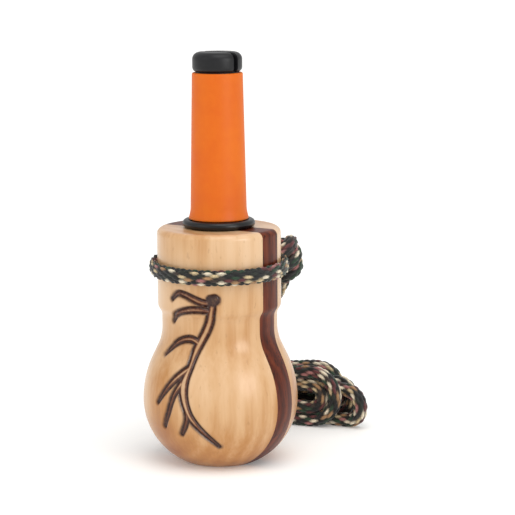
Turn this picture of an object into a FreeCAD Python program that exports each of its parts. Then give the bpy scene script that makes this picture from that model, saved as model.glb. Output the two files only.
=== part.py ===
import FreeCAD, Part
import math
import os
import Sketcher
from FreeCAD import Placement, Rotation, Vector

# Bite-down game call: a turned, laminated bell with a soft bite sleeve over a
# tone board and reed, and a braided lanyard noosed round the bell's neck.
# Millimetres. +Z is up through the bell's axis, the origin is the middle of
# its base, and the dark centre slab lies in the XZ plane.

doc = FreeCAD.newDocument("bite_call")
sheet = doc.addObject("Spreadsheet::Sheet", "dims")

DIMENSIONS = [
    # the bell, turned from one glued blank
    ("barrel_height", 78.6),
    ("neck_radius", 20.5),
    ("top_edge_round", 2.0),
    ("neck_edge_round", 3.0),
    ("cove_round", 4.0),
    ("waist_radius", 19.15),
    ("waist_top", 49.4),
    ("waist_foot", 46.0),
    ("waist_flare_round", 16.0),
    ("belly_radius", 25.8),
    ("belly_height", 21.0),
    ("belly_upper_round", 33.0),
    ("belly_lower_round", 23.0),
    ("socket_radius", 7.94),
    ("port_radius", 9.5),
    ("port_depth", 52.0),
    ("port_chamfer", 0.8),
    ("socket_chamfer", 0.4),
    ("slab_half_thickness", 4.4),
    ("blank_reach", 40.0),
    ("blank_margin", 2.0),
    # the noose, a braid pulled flat against the neck
    ("noose_height", 64.6),
    ("noose_half_height", 2.9),
    ("noose_inner_radius", 20.55),
    ("noose_outer_radius", 23.45),
    ("noose_edge_round", 1.4),
    ("cord_radius", 2.4),
    # the insert stem and its seals
    ("stem_foot", 58.0),
    ("stem_bore", 4.0),
    ("spigot_radius", 7.7),
    ("seal_low", 63.0),
    ("seal_high", 72.0),
    ("seal_groove_half", 1.0),
    ("seal_groove_radius", 6.35),
    ("seal_ring_radius", 7.13),
    ("seal_section_radius", 0.75),
    ("flange_foot", 78.7),
    ("flange_top", 81.0),
    ("flange_radius", 9.2),
    ("sleeve_spigot_radius", 7.85),
    ("stem_top", 92.0),
    ("board_socket_radius", 6.0),
    ("board_socket_floor", 83.0),
    ("seat_ring_radius", 10.65),
    ("seat_ring_section", 1.35),
    ("seat_ring_height", 80.0),
    # tone board, reed and wedge
    ("board_radius", 5.95),
    ("board_foot", 84.0),
    ("board_length", 35.5),
    ("board_face", 0.5),
    ("trough_half_width", 2.5),
    ("trough_depth", 3.2),
    ("trough_length", 29.0),
    ("facing_start", 11.0),
    ("reed_tip_gap", 0.95),
    ("reed_half_width", 4.5),
    ("reed_thickness", 0.25),
    ("reed_root_length", 10.95),
    ("reed_tongue_foot", 95.05),
    ("reed_tongue_length", 22.5),
    ("wedge_length", 11.0),
    # bite sleeve
    ("sleeve_foot", 81.4),
    ("sleeve_top", 129.6),
    ("sleeve_flare_radius", 10.0),
    ("sleeve_flare_top", 83.8),
    ("sleeve_low_radius", 9.35),
    ("sleeve_top_radius", 8.5),
    ("sleeve_socket_radius", 7.87),
    ("sleeve_socket_top", 92.6),
    ("sleeve_bore_foot", 96.0),
    ("sleeve_bore", 7.03),
    ("sleeve_lip_round", 0.5),
    # mouthpiece tip
    ("tip_foot", 121.0),
    ("tip_skirt_radius", 7.0),
    ("tip_bore", 5.6),
    ("tip_bore_top", 131.4),
    ("tip_head_foot", 129.8),
    ("tip_head_top", 136.3),
    ("tip_head_radius", 8.2),
    ("tip_top_round", 2.4),
    ("tip_foot_round", 1.1),
    ("tip_slot_half_width", 0.85),
    ("tip_slot_turn", -8.0),
    # slip knot and the hank laid on the ground behind the bell
    ("knot_height", 64.2),
    ("knot_half_height", 10.0),
    ("knot_half_width", 7.2),
    ("knot_distance", 28.7),
    ("knot_turn", 77.0),
    ("hank_turn", 11.0),
    ("hank_distance", 59.2),
    ("hank_depth", 19.2),
    ("hank_left_reach", 38.0),
    ("hank_left_round", 11.3),
    ("hank_top", 22.6),
    ("hank_upper_reach", 13.7),
    ("hank_lower_top", 17.6),
    ("hank_lower_round", 8.8),
    ("hank_lower_reach", 25.7),
]

for row, (alias, number) in enumerate(DIMENSIONS, start=1):
    sheet.set("A%d" % row, alias)
    sheet.set("B%d" % row, str(number))
    sheet.setAlias("B%d" % row, alias)
doc.recompute()

# Centrelines of the two lanyard strands, from inside the slip knot to inside
# the hank, in the bell's own frame.
STRANDS = {
    "lanyard_strand_near": [
        (6.6, 24.6, 57.0),
        (2.1, 26.4, 47.5),
        (-7.5, 29.6, 40.5),
        (-18.3, 34.5, 35.0),
        (-29.0, 40.0, 30.0),
        (-37.3, 44.0, 24.5),
        (-42.3, 45.3, 17.5),
    ],
    "lanyard_strand_far": [
        (6.2, 30.0, 57.0),
        (0.9, 32.0, 48.5),
        (-8.0, 35.8, 42.5),
        (-18.0, 41.0, 37.5),
        (-27.5, 46.8, 32.5),
        (-36.0, 52.8, 27.0),
        (-42.8, 58.0, 20.0),
    ],
}

LEAST_CORD_RADIUS = 3.0      # centreline radius of a bend, in cord diameters

parts = []


def amount(expression):
    """Value in mm of sheet names joined by plus and minus signs."""
    total = 0.0
    sign = 1.0
    for word in expression.split():
        if word in ("+", "-"):
            sign = 1.0 if word == "+" else -1.0
        else:
            total += sign * sheet.get(word)
    return total


def cells(expression):
    """The same names written the way an expression refers to the sheet."""
    words = expression.split()
    return " ".join(word if word in ("+", "-") else "dims." + word for word in words)


def bind(thing, prop, expression):
    thing.setExpression(prop, cells(expression))


def finish(thing, name):
    """Give a sub-part its own label and keep it for export."""
    thing.Label = name
    parts.append(thing)
    return thing


def new_body(name):
    return doc.addObject("PartDesign::Body", name)


def new_sketch(body, plane, name):
    sketch = body.newObject("Sketcher::SketchObject", name)
    support = [face for face in body.Origin.OriginFeatures if face.Role == plane]
    sketch.AttachmentSupport = [(support[0], "")]
    sketch.MapMode = "FlatFace"
    return sketch


def dimension(sketch, kind, places, expression):
    """A distance or radius constraint driven by the sheet."""
    index = sketch.addConstraint(Sketcher.Constraint(kind, *places, amount(expression)))
    bind(sketch, "Constraints[%d]" % index, expression)


def relate(sketch, kind, *places):
    sketch.addConstraint(Sketcher.Constraint(kind, *places))


def add_polygon(sketch, corners):
    """Closed outline whose corners are held by their distances from both axes.

    An empty name means that the corner lies on that axis.
    """
    first = sketch.GeometryCount
    spots = [Vector(amount(across), amount(up), 0) for across, up in corners]
    count = len(spots)
    for i in range(count):
        sketch.addGeometry(Part.LineSegment(spots[i], spots[(i + 1) % count]), False)
    for i in range(count):
        relate(sketch, "Coincident", first + i, 2, first + (i + 1) % count, 1)
    for i, (across, up) in enumerate(corners):
        if across:
            dimension(sketch, "DistanceX", (first + i, 1), across)
        else:
            relate(sketch, "PointOnObject", first + i, 1, -2)
        if up:
            dimension(sketch, "DistanceY", (first + i, 1), up)
        else:
            relate(sketch, "PointOnObject", first + i, 1, -1)


def turn_outline(body, sketch, name="Revolution"):
    """Turn an outline drawn in the XZ plane about the axis."""
    turned = body.newObject("PartDesign::" + name, name)
    turned.Profile = sketch
    turned.ReferenceAxis = (sketch, ["V_Axis"])
    turned.Angle = 360.0
    sketch.Visibility = False
    return turned


def turned_body(name, corners):
    body = new_body(name)
    sketch = new_sketch(body, "XZ_Plane", "outline")
    add_polygon(sketch, corners)
    turn_outline(body, sketch)
    doc.recompute()
    return body


def rim_names(feature, radius, height):
    """Names of the round edges with this radius at this height."""
    names = []
    for number, edge in enumerate(feature.Shape.Edges, start=1):
        curve = edge.Curve
        if curve.TypeId != "Part::GeomCircle":
            continue
        same_radius = abs(curve.Radius - radius) < 0.001
        if same_radius and abs(curve.Center.z - height) < 0.001:
            names.append("Edge%d" % number)
    return names


def dress_rim(body, kind, size_name, radius, height):
    """Fillet or chamfer the rim found by its radius and height."""
    base = body.Tip
    dressed = body.newObject("PartDesign::" + kind, kind)
    dressed.Base = (base, rim_names(base, amount(radius), amount(height)))
    bind(dressed, "Radius" if kind == "Fillet" else "Size", size_name)
    doc.recompute()


def arc(centre_x, centre_z, radius, start, end):
    """Sketch arc, anticlockwise between two angles in degrees."""
    circle = Part.Circle(Vector(centre_x, centre_z, 0), Vector(0, 0, 1), radius)
    return Part.ArcOfCircle(circle, math.radians(start), math.radians(end))


def box(name, lengths, corner):
    """Part::Box with its three sizes and its low corner bound to the sheet."""
    block = doc.addObject("Part::Box", name)
    for prop, expression in zip(("Length", "Width", "Height"), lengths):
        bind(block, prop, expression)
    for axis, expression in zip("xyz", corner):
        if expression:
            bind(block, ".Placement.Base." + axis, expression)
    return block


def ring(name, ring_radius, section_radius, height):
    torus = doc.addObject("Part::Torus", name)
    bind(torus, "Radius1", ring_radius)
    bind(torus, "Radius2", section_radius)
    bind(torus, ".Placement.Base.z", height)
    return finish(torus, name)


def common(name, base, tool):
    shared = doc.addObject("Part::Common", name)
    shared.Base = base
    shared.Tool = tool
    return finish(shared, name)


# ---------------------------------------------------------------- the bell

def bell_outline(sketch):
    """Neck, edge, cove, waist, flank and two belly arcs, then the bores."""
    neck = amount("neck_radius")
    waist = amount("waist_radius")
    belly = amount("belly_radius")
    belly_z = amount("belly_height")
    rim = amount("top_edge_round")
    edge = amount("neck_edge_round")
    cove = amount("cove_round")
    flare = amount("waist_flare_round")
    upper = amount("belly_upper_round")
    lower = amount("belly_lower_round")
    high = amount("barrel_height")
    cove_turn = math.degrees(math.acos(1 - (neck - waist) / (edge + cove)))
    edge_z = amount("waist_top") + (edge + cove) * math.sin(math.radians(cove_turn))
    flank_turn = 24.0
    foot_turn = math.degrees(math.asin(belly_z / lower))
    foot = belly - lower + math.sqrt(lower ** 2 - belly_z ** 2)

    socket_top = Vector(amount("socket_radius"), high, 0)
    neck_top = Vector(neck, high - rim, 0)
    neck_foot = Vector(neck, edge_z, 0)
    waist_top = Vector(waist, amount("waist_top"), 0)
    waist_foot = Vector(waist, amount("waist_foot"), 0)
    base_rim = Vector(foot, 0, 0)
    port_mouth = Vector(amount("port_radius"), 0, 0)
    port_top = Vector(amount("port_radius"), amount("port_depth"), 0)
    step_in = Vector(amount("socket_radius"), amount("port_depth"), 0)

    flare_arc = arc(waist + flare, waist_foot.y, flare, 180, 180 + flank_turn)
    upper_arc = arc(belly - upper, belly_z, upper, 0, flank_turn)
    outline = [
        Part.LineSegment(socket_top, Vector(neck - rim, high, 0)),
        arc(neck - rim, high - rim, rim, 0, 90),
        Part.LineSegment(neck_top, neck_foot),
        arc(neck - edge, edge_z, edge, -cove_turn, 0),
        arc(waist + cove, waist_top.y, cove, 180 - cove_turn, 180),
        Part.LineSegment(waist_top, waist_foot),
        flare_arc,
        Part.LineSegment(flare_arc.EndPoint, upper_arc.EndPoint),
        upper_arc,
        arc(belly - lower, belly_z, lower, -foot_turn, 0),
        Part.LineSegment(base_rim, port_mouth),
        Part.LineSegment(port_mouth, port_top),
        Part.LineSegment(port_top, step_in),
        Part.LineSegment(step_in, socket_top),
    ]
    for piece in outline:
        sketch.addGeometry(piece, False)

    smooth_joints = [(0, 2, 1, 2), (1, 1, 2, 1), (2, 2, 3, 2), (3, 1, 4, 1), (4, 2, 5, 1)]
    smooth_joints += [(5, 2, 6, 1), (6, 2, 7, 1), (7, 2, 8, 2), (8, 1, 9, 2)]
    for joint in smooth_joints:
        relate(sketch, "Tangent", *joint)
    for joint in [(9, 1, 10, 1), (10, 2, 11, 1), (11, 2, 12, 1), (12, 2, 13, 1), (13, 2, 0, 1)]:
        relate(sketch, "Coincident", *joint)
    for line in (0, 10, 12):
        relate(sketch, "Horizontal", line)
    for line in (2, 5, 11, 13):
        relate(sketch, "Vertical", line)
    relate(sketch, "Horizontal", 8, 3, 8, 1)
    relate(sketch, "PointOnObject", 10, 1, -1)

    radii = {1: "top_edge_round", 3: "neck_edge_round", 4: "cove_round"}
    radii.update({6: "waist_flare_round", 8: "belly_upper_round", 9: "belly_lower_round"})
    for curve, name in radii.items():
        dimension(sketch, "Radius", (curve,), name)
    dimension(sketch, "DistanceX", (0, 1), "socket_radius")
    dimension(sketch, "DistanceX", (2, 1), "neck_radius")
    dimension(sketch, "DistanceX", (5, 1), "waist_radius")
    dimension(sketch, "DistanceX", (8, 1), "belly_radius")
    dimension(sketch, "DistanceX", (11, 1), "port_radius")
    dimension(sketch, "DistanceY", (0, 1), "barrel_height")
    dimension(sketch, "DistanceY", (5, 1), "waist_top")
    dimension(sketch, "DistanceY", (5, 2), "waist_foot")
    dimension(sketch, "DistanceY", (8, 1), "belly_height")
    dimension(sketch, "DistanceY", (12, 1), "port_depth")


def bell_blank():
    """The glued blank after turning and boring."""
    blank = new_body("bell_blank")
    sketch = new_sketch(blank, "XZ_Plane", "outline")
    bell_outline(sketch)
    turn_outline(blank, sketch)
    doc.recompute()
    dress_rim(blank, "Chamfer", "port_chamfer", "port_radius", "")
    dress_rim(blank, "Chamfer", "socket_chamfer", "socket_radius", "barrel_height")
    return blank


def laminations(blank):
    """Two pale outer halves, and the dark slab that the bore parts in two."""
    reach = "blank_reach"
    width = "blank_reach + blank_reach"
    slab = "slab_half_thickness + slab_half_thickness"
    tall = "barrel_height + blank_margin"
    low_y = "- blank_reach - slab_half_thickness"
    right = box("slab_right", (reach, slab, tall), ("", "- slab_half_thickness", ""))
    left = box("slab_left", (reach, slab, tall), ("- blank_reach", "- slab_half_thickness", ""))
    front = box("front_block", (width, reach, tall), ("- blank_reach", low_y, ""))
    back = box("back_block", (width, reach, tall), ("- blank_reach", "slab_half_thickness", ""))
    common("walnut_strip_right", blank, right)
    common("walnut_strip_left", blank, left)
    common("maple_front_half", blank, front)
    common("maple_back_half", blank, back)


# ------------------------------------------------- insert stem and its seals

def insert_stem():
    corners = [("stem_bore", "stem_foot"), ("spigot_radius", "stem_foot")]
    for seal in ("seal_low", "seal_high"):
        below = seal + " - seal_groove_half"
        above = seal + " + seal_groove_half"
        corners += [
            ("spigot_radius", below),
            ("seal_groove_radius", below),
            ("seal_groove_radius", above),
            ("spigot_radius", above),
        ]
    corners += [
        ("spigot_radius", "flange_foot"),
        ("flange_radius", "flange_foot"),
        ("flange_radius", "flange_top"),
        ("sleeve_spigot_radius", "flange_top"),
        ("sleeve_spigot_radius", "stem_top"),
        ("board_socket_radius", "stem_top"),
        ("board_socket_radius", "board_socket_floor"),
        ("stem_bore", "board_socket_floor"),
    ]
    finish(turned_body("stem", corners), "insert_stem")


# ---------------------------------------------- tone board, reed and wedge

def tone_board():
    """Half-round board: a trough along its flat, and a facing that falls away."""
    board = new_body("board")
    bind(board, ".Placement.Base.z", "board_foot")
    section = new_sketch(board, "XY_Plane", "section")
    radius = amount("board_radius")
    face = amount("board_face")
    lift = math.degrees(math.asin(face / radius))
    back = arc(0, 0, radius, lift, 180 - lift)
    section.addGeometry(back, False)
    section.addGeometry(Part.LineSegment(back.EndPoint, back.StartPoint), False)
    relate(section, "Coincident", 0, 3, -1, 1)
    relate(section, "Coincident", 0, 2, 1, 1)
    relate(section, "Coincident", 1, 2, 0, 1)
    relate(section, "Horizontal", 1)
    dimension(section, "Radius", (0,), "board_radius")
    dimension(section, "DistanceY", (1, 1), "board_face")
    pad = board.newObject("PartDesign::Pad", "board_pad")
    pad.Profile = section
    bind(pad, "Length", "board_length")
    doc.recompute()
    solid = board.Shape.Volume

    channel = new_sketch(board, "XY_Plane", "trough")
    floor = "board_face + trough_depth"
    open_edge = "board_face - trough_half_width"
    add_polygon(channel, [
        ("- trough_half_width", open_edge),
        ("trough_half_width", open_edge),
        ("trough_half_width", floor),
        ("- trough_half_width", floor),
    ])
    trough = board.newObject("PartDesign::Pocket", "trough_cut")
    trough.Profile = channel
    trough.Reversed = True
    bind(trough, "Length", "trough_length")
    doc.recompute()
    troughed = board.Shape.Volume

    ramp = new_sketch(board, "YZ_Plane", "facing")
    add_polygon(ramp, [
        ("board_face", "facing_start"),
        ("board_face + reed_tip_gap", "board_length"),
        ("board_face - reed_tip_gap", "board_length"),
        ("board_face - reed_tip_gap", "facing_start"),
    ])
    facing = board.newObject("PartDesign::Pocket", "facing_cut")
    facing.Profile = ramp
    facing.SideType = "Symmetric"
    bind(facing, "Length", "board_radius + board_radius")
    doc.recompute()
    print("trough removes %.0f mm3, facing %.0f mm3"
          % (solid - troughed, troughed - board.Shape.Volume))
    finish(board, "tone_board")


def reed_strip(name, length, foot):
    """A flat strip of reed lying on the board's face."""
    width = "reed_half_width + reed_half_width"
    corner = ("- reed_half_width", "board_face - reed_thickness", foot)
    strip = box(name, (width, "reed_thickness", length), corner)
    finish(strip, name)


def reed_wedge():
    """Half-round wedge that clamps the reed's root in the stem's socket."""
    round_bar = doc.addObject("Part::Cylinder", "wedge_bar")
    bind(round_bar, "Radius", "board_radius")
    bind(round_bar, "Height", "wedge_length")
    bind(round_bar, ".Placement.Base.z", "board_foot")
    width = "board_radius + board_radius"
    depth = "board_radius + board_face - reed_thickness"
    corner = ("- board_radius", "- board_radius", "board_foot")
    keep = box("wedge_side", (width, depth, "wedge_length"), corner)
    common("reed_wedge", round_bar, keep)


# ---------------------------------------------- bite sleeve and mouthpiece

def bite_sleeve():
    body = turned_body("sleeve", [
        ("sleeve_socket_radius", "sleeve_foot"),
        ("sleeve_flare_radius", "sleeve_foot"),
        ("sleeve_low_radius", "sleeve_flare_top"),
        ("sleeve_top_radius", "sleeve_top"),
        ("sleeve_bore", "sleeve_top"),
        ("sleeve_bore", "sleeve_bore_foot"),
        ("sleeve_socket_radius", "sleeve_socket_top"),
    ])
    dress_rim(body, "Fillet", "sleeve_lip_round", "sleeve_top_radius", "sleeve_top")
    finish(body, "bite_sleeve")


def mouthpiece_tip():
    """Slotted head on a skirt that plugs into the sleeve."""
    body = turned_body("tip", [
        ("tip_bore", "tip_foot"),
        ("tip_skirt_radius", "tip_foot"),
        ("tip_skirt_radius", "tip_head_foot"),
        ("tip_head_radius", "tip_head_foot"),
        ("tip_head_radius", "tip_head_top"),
        ("", "tip_head_top"),
        ("", "tip_bore_top"),
        ("tip_bore", "tip_bore_top"),
    ])
    dress_rim(body, "Fillet", "tip_top_round", "tip_head_radius", "tip_head_top")
    dress_rim(body, "Fillet", "tip_foot_round", "tip_head_radius", "tip_head_foot")
    whole = body.Shape.Volume

    slot = new_sketch(body, "YZ_Plane", "slot")
    add_polygon(slot, [
        ("- tip_slot_half_width", "tip_head_foot"),
        ("tip_slot_half_width", "tip_head_foot"),
        ("tip_slot_half_width", "tip_head_top + tip_slot_half_width"),
        ("- tip_slot_half_width", "tip_head_top + tip_slot_half_width"),
    ])
    cut = body.newObject("PartDesign::Pocket", "slot_cut")
    cut.Profile = slot
    cut.SideType = "Symmetric"
    bind(cut, "Length", "tip_head_radius + tip_head_radius + tip_head_radius")
    doc.recompute()
    print("tip slot removes %.0f mm3" % (whole - body.Shape.Volume))
    body.Placement.Rotation = Rotation(Vector(0, 0, 1), 1)
    body.setExpression(".Placement.Rotation.Angle", "dims.tip_slot_turn")
    finish(body, "mouthpiece_tip")


# ----------------------------------------------------------------- lanyard

def noose():
    bottom = "noose_height - noose_half_height"
    top = "noose_height + noose_half_height"
    body = turned_body("noose_band", [
        ("noose_inner_radius", bottom),
        ("noose_outer_radius", bottom),
        ("noose_outer_radius", top),
        ("noose_inner_radius", top),
    ])
    for radius in ("noose_inner_radius", "noose_outer_radius"):
        for edge in (bottom, top):
            dress_rim(body, "Fillet", "noose_edge_round", radius, edge)
    finish(body, "lanyard_noose")


def slip_knot():
    knot = doc.addObject("Part::Ellipsoid", "knot")
    knot.Angle1 = -90
    bind(knot, "Radius1", "knot_half_height")
    bind(knot, "Radius2", "knot_half_width")
    bind(knot, "Radius3", "knot_half_width")
    turn = "(dims.knot_turn)"
    knot.setExpression(".Placement.Base.x", "dims.knot_distance * cos(%s)" % turn)
    knot.setExpression(".Placement.Base.y", "dims.knot_distance * sin(%s)" % turn)
    bind(knot, ".Placement.Base.z", "knot_height")
    finish(knot, "lanyard_slip_knot")


def rounded_path(spots):
    """Straight runs joined by tangent arcs as large as the runs allow."""
    corners = [Vector(*spot) for spot in spots]
    edges = []
    radii = []
    start = corners[0]
    for before, corner, after in zip(corners, corners[1:], corners[2:]):
        back = (before - corner).normalize()
        ahead = (after - corner).normalize()
        run = min(before.distanceToPoint(corner), after.distanceToPoint(corner))
        cut = 0.45 * run
        half_turn = (math.pi - back.getAngle(ahead)) / 2
        radius = cut / math.tan(half_turn)
        arc_start = corner + back * cut
        arc_end = corner + ahead * cut
        bisector = (back + ahead).normalize()
        middle = corner + bisector * (radius / math.cos(half_turn) - radius)
        edges.append(Part.LineSegment(start, arc_start).toShape())
        edges.append(Part.Arc(arc_start, middle, arc_end).toShape())
        radii.append(radius)
        start = arc_end
    edges.append(Part.LineSegment(start, corners[-1]).toShape())
    return Part.Wire(edges), radii


def strand(name, spots):
    """One run of plain cord; a spatial path, so its solid is swept directly."""
    path, radii = rounded_path(spots)
    cord = amount("cord_radius")
    direction = Vector(*spots[1]) - Vector(*spots[0])
    section = Part.Wire([Part.Circle(Vector(*spots[0]), direction, cord).toShape()])
    tube = path.makePipeShell([section], True, False)
    thing = doc.addObject("Part::Feature", name)
    thing.Shape = tube
    thing.Placement = Placement()
    expected = math.pi * cord ** 2 * path.Length
    print("%s: %.1f mm long, radii %s, volume %.0f of %.0f mm3"
          % (name, path.Length, " ".join("%.1f" % r for r in radii), tube.Volume, expected))
    if min(radii) < LEAST_CORD_RADIUS * 2 * cord:
        print("tight bend in", name)
    finish(thing, name)


def hank():
    """Outer shape of the folded hank: tall folds, and a longer lower group."""
    body = new_body("hank")
    sketch = new_sketch(body, "XZ_Plane", "side_view")
    left = amount("hank_left_reach")
    left_round = amount("hank_left_round")
    top = amount("hank_top")
    upper = amount("hank_upper_reach")
    lower_top = amount("hank_lower_top")
    lower_round = amount("hank_lower_round")
    lower = amount("hank_lower_reach")
    bend = left_round - left
    fall = math.degrees(math.acos((lower_top - top / 2) / (top / 2)))
    shoulder_x = upper + top / 2 * math.sin(math.radians(fall))
    outline = [
        arc(bend, left_round, left_round, 90, 270),
        Part.LineSegment(Vector(bend, 0, 0), Vector(lower, 0, 0)),
        arc(lower, lower_round, lower_round, -90, 90),
        Part.LineSegment(Vector(lower, lower_top, 0), Vector(shoulder_x, lower_top, 0)),
        arc(upper, top / 2, top / 2, 90 - fall, 90),
        Part.LineSegment(Vector(upper, top, 0), Vector(bend, top, 0)),
    ]
    for piece in outline:
        sketch.addGeometry(piece, False)
    for joint in [(0, 2, 1, 1), (1, 2, 2, 1), (2, 2, 3, 1), (4, 2, 5, 1), (5, 2, 0, 1)]:
        relate(sketch, "Tangent", *joint)
    relate(sketch, "Coincident", 3, 2, 4, 1)
    relate(sketch, "Horizontal", 1)
    relate(sketch, "Horizontal", 3)
    relate(sketch, "PointOnObject", 1, 1, -1)
    dimension(sketch, "Radius", (0,), "hank_left_round")
    dimension(sketch, "DistanceX", (4, 3), "hank_upper_reach")
    dimension(sketch, "DistanceX", (2, 3), "hank_lower_reach")
    dimension(sketch, "DistanceX", (0, 3, 2, 3), "hank_left_reach - hank_left_round + hank_lower_reach")
    dimension(sketch, "DistanceY", (3, 1), "hank_lower_top")
    relate(sketch, "Equal", 0, 4)
    pad = body.newObject("PartDesign::Pad", "hank_pad")
    pad.Profile = sketch
    pad.SideType = "Symmetric"
    bind(pad, "Length", "hank_depth")
    body.Placement.Rotation = Rotation(Vector(0, 0, 1), 1)
    body.setExpression(".Placement.Rotation.Angle", "dims.hank_turn")
    body.setExpression(".Placement.Base.x", "-dims.hank_distance * sin(dims.hank_turn)")
    body.setExpression(".Placement.Base.y", "dims.hank_distance * cos(dims.hank_turn)")
    finish(body, "lanyard_hank")


def build():
    laminations(bell_blank())
    insert_stem()
    ring("stem_o_ring_lower", "seal_ring_radius", "seal_section_radius", "seal_low")
    ring("stem_o_ring_upper", "seal_ring_radius", "seal_section_radius", "seal_high")
    ring("seat_ring", "seat_ring_radius", "seat_ring_section", "seat_ring_height")
    tone_board()
    reed_strip("reed_root", "reed_root_length", "board_foot")
    reed_strip("reed_tongue", "reed_tongue_length", "reed_tongue_foot")
    reed_wedge()
    bite_sleeve()
    mouthpiece_tip()
    noose()
    slip_knot()
    for name, spots in STRANDS.items():
        strand(name, spots)
    hank()
    doc.recompute()


def check():
    for thing in doc.Objects:
        if "Invalid" in thing.State or "Error" in thing.State:
            raise RuntimeError("%s failed: %s" % (thing.Label, thing.State))
    for thing in parts:
        shape = thing.Shape
        if shape.isNull() or not shape.isValid():
            raise RuntimeError("%s has no valid shape" % thing.Label)
        print("%-22s %8.0f mm3, %d solid(s)" % (thing.Label, shape.Volume, len(shape.Solids)))


def export():
    os.makedirs("parts", exist_ok=True)
    for thing in parts:
        thing.Shape.exportStep("parts/%s.step" % thing.Label)


build()
check()
export()
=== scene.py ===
import math
import bmesh
import bpy
import numpy as np
from mathutils import Matrix, Vector


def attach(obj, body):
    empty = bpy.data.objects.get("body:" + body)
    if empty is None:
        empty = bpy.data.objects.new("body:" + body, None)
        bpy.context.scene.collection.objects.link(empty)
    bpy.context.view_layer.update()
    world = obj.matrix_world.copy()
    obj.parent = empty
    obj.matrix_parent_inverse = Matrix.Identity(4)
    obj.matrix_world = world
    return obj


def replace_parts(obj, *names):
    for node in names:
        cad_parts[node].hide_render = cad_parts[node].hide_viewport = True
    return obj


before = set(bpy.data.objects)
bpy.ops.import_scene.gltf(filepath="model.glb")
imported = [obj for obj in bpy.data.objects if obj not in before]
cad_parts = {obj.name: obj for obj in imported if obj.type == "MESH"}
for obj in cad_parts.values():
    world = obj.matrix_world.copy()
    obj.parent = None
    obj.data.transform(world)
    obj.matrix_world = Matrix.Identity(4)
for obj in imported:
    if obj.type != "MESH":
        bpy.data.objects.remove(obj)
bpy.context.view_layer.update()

mm = 0.001


# small helpers

def linearColour(hexText):
    # sRGB hex to the linear values that sockets hold
    channels = [int(hexText[i:i + 2], 16) / 255 for i in (1, 3, 5)]
    linear = [c / 12.92 if c <= 0.04045 else ((c + 0.055) / 1.055) ** 2.4 for c in channels]
    return (*linear, 1.0)


def addNode(tree, kind, inputs=None, **settings):
    # a node with its settings; an input is a value, or another node's socket to link
    node = tree.nodes.new(kind)
    for name, value in settings.items():
        setattr(node, name, value)
    for socket, value in (inputs or {}).items():
        if isinstance(value, bpy.types.NodeSocket):
            tree.links.new(value, node.inputs[socket])
        else:
            node.inputs[socket].default_value = value
    return node


def newMaterial(name):
    material = bpy.data.materials.new(name)
    material.use_nodes = True
    material.node_tree.nodes.clear()
    return material, material.node_tree


def remap(tree, value, fromRange, toRange):
    # a socket whose value goes from the first range to the second
    node = addNode(tree, "ShaderNodeMapRange", {
        "Value": value, "From Min": fromRange[0], "From Max": fromRange[1],
        "To Min": toRange[0], "To Max": toRange[1]})
    return node.outputs[0]


def noise(tree, place, size, detail, roughness=0.5):
    # a soft random field whose lumps are about this size in metres
    node = addNode(tree, "ShaderNodeTexNoise", {
        "Vector": place, "Scale": 1 / size, "Detail": detail, "Roughness": roughness})
    return node.outputs["Fac"]


def stretched(tree, place, upward):
    # the same place with its height scaled, so that what is drawn there runs up the piece
    scale = (1.0, 1.0, upward)
    return addNode(tree, "ShaderNodeMapping", {"Vector": place, "Scale": scale}).outputs[0]


def maths(tree, operation, *values, clamp=False):
    inputs = dict(enumerate(values))
    node = addNode(tree, "ShaderNodeMath", inputs, operation=operation, use_clamp=clamp)
    return node.outputs[0]


def mixed(tree, share, first, second):
    # between two colours by the share of the second
    inputs = {0: share, 6: first, 7: second}
    return addNode(tree, "ShaderNodeMix", inputs, data_type="RGBA").outputs[2]


def ramp(tree, value, shades):
    # a colour for each value, from (value, hex) pairs
    node = addNode(tree, "ShaderNodeValToRGB", {0: value})
    stops = node.color_ramp.elements
    stops[0].position, stops[0].color = shades[0][0], linearColour(shades[0][1])
    stops[1].position, stops[1].color = shades[-1][0], linearColour(shades[-1][1])
    for position, shade in shades[1:-1]:
        stops.new(position).color = linearColour(shade)
    return node.outputs[0]


def finishMaterial(tree, shaderInputs):
    shader = addNode(tree, "ShaderNodeBsdfPrincipled", shaderInputs)
    addNode(tree, "ShaderNodeOutputMaterial", {"Surface": shader.outputs[0]})


def gridFaces(rows, columns, wrapRows=False, wrapColumns=False):
    # quads between neighbouring points of a rows by columns grid
    r = np.arange(rows if wrapRows else rows - 1)
    c = np.arange(columns if wrapColumns else columns - 1)
    r, c = np.meshgrid(r, c, indexing="ij")
    rNext, cNext = (r + 1) % rows, (c + 1) % columns
    corners = [r * columns + c, r * columns + cNext, rNext * columns + cNext, rNext * columns + c]
    return np.stack(corners, -1).reshape(-1, 4)


def meshPiece(name, points, faces, material, body, pointValues=None, sharp=None):
    # one piece: its points and faces, outward normals, its finish and the body it rides on
    mesh = bpy.data.meshes.new(name)
    mesh.from_pydata(points.reshape(-1, 3).tolist(), [], [list(face) for face in faces])
    for attribute, values in (pointValues or {}).items():
        kind = "FLOAT_COLOR" if values.ndim == 2 else "FLOAT"
        layer = mesh.attributes.new(attribute, kind, "POINT")
        field = "color" if kind == "FLOAT_COLOR" else "value"
        layer.data.foreach_set(field, values.ravel().astype(np.float32))
    cleaner = bmesh.new()
    cleaner.from_mesh(mesh)
    bmesh.ops.remove_doubles(cleaner, verts=cleaner.verts, dist=1e-7)
    bmesh.ops.dissolve_degenerate(cleaner, edges=cleaner.edges, dist=1e-8)
    if cleaner.calc_volume(signed=True) < 0:
        bmesh.ops.reverse_faces(cleaner, faces=cleaner.faces)
    cleaner.to_mesh(mesh)
    cleaner.free()
    mesh.shade_smooth()
    if sharp:
        mesh.set_sharp_from_angle(angle=math.radians(sharp))
    mesh.materials.append(material)
    piece = bpy.data.objects.new(name, mesh)
    bpy.context.scene.collection.objects.link(piece)
    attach(piece, body)
    return piece


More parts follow.
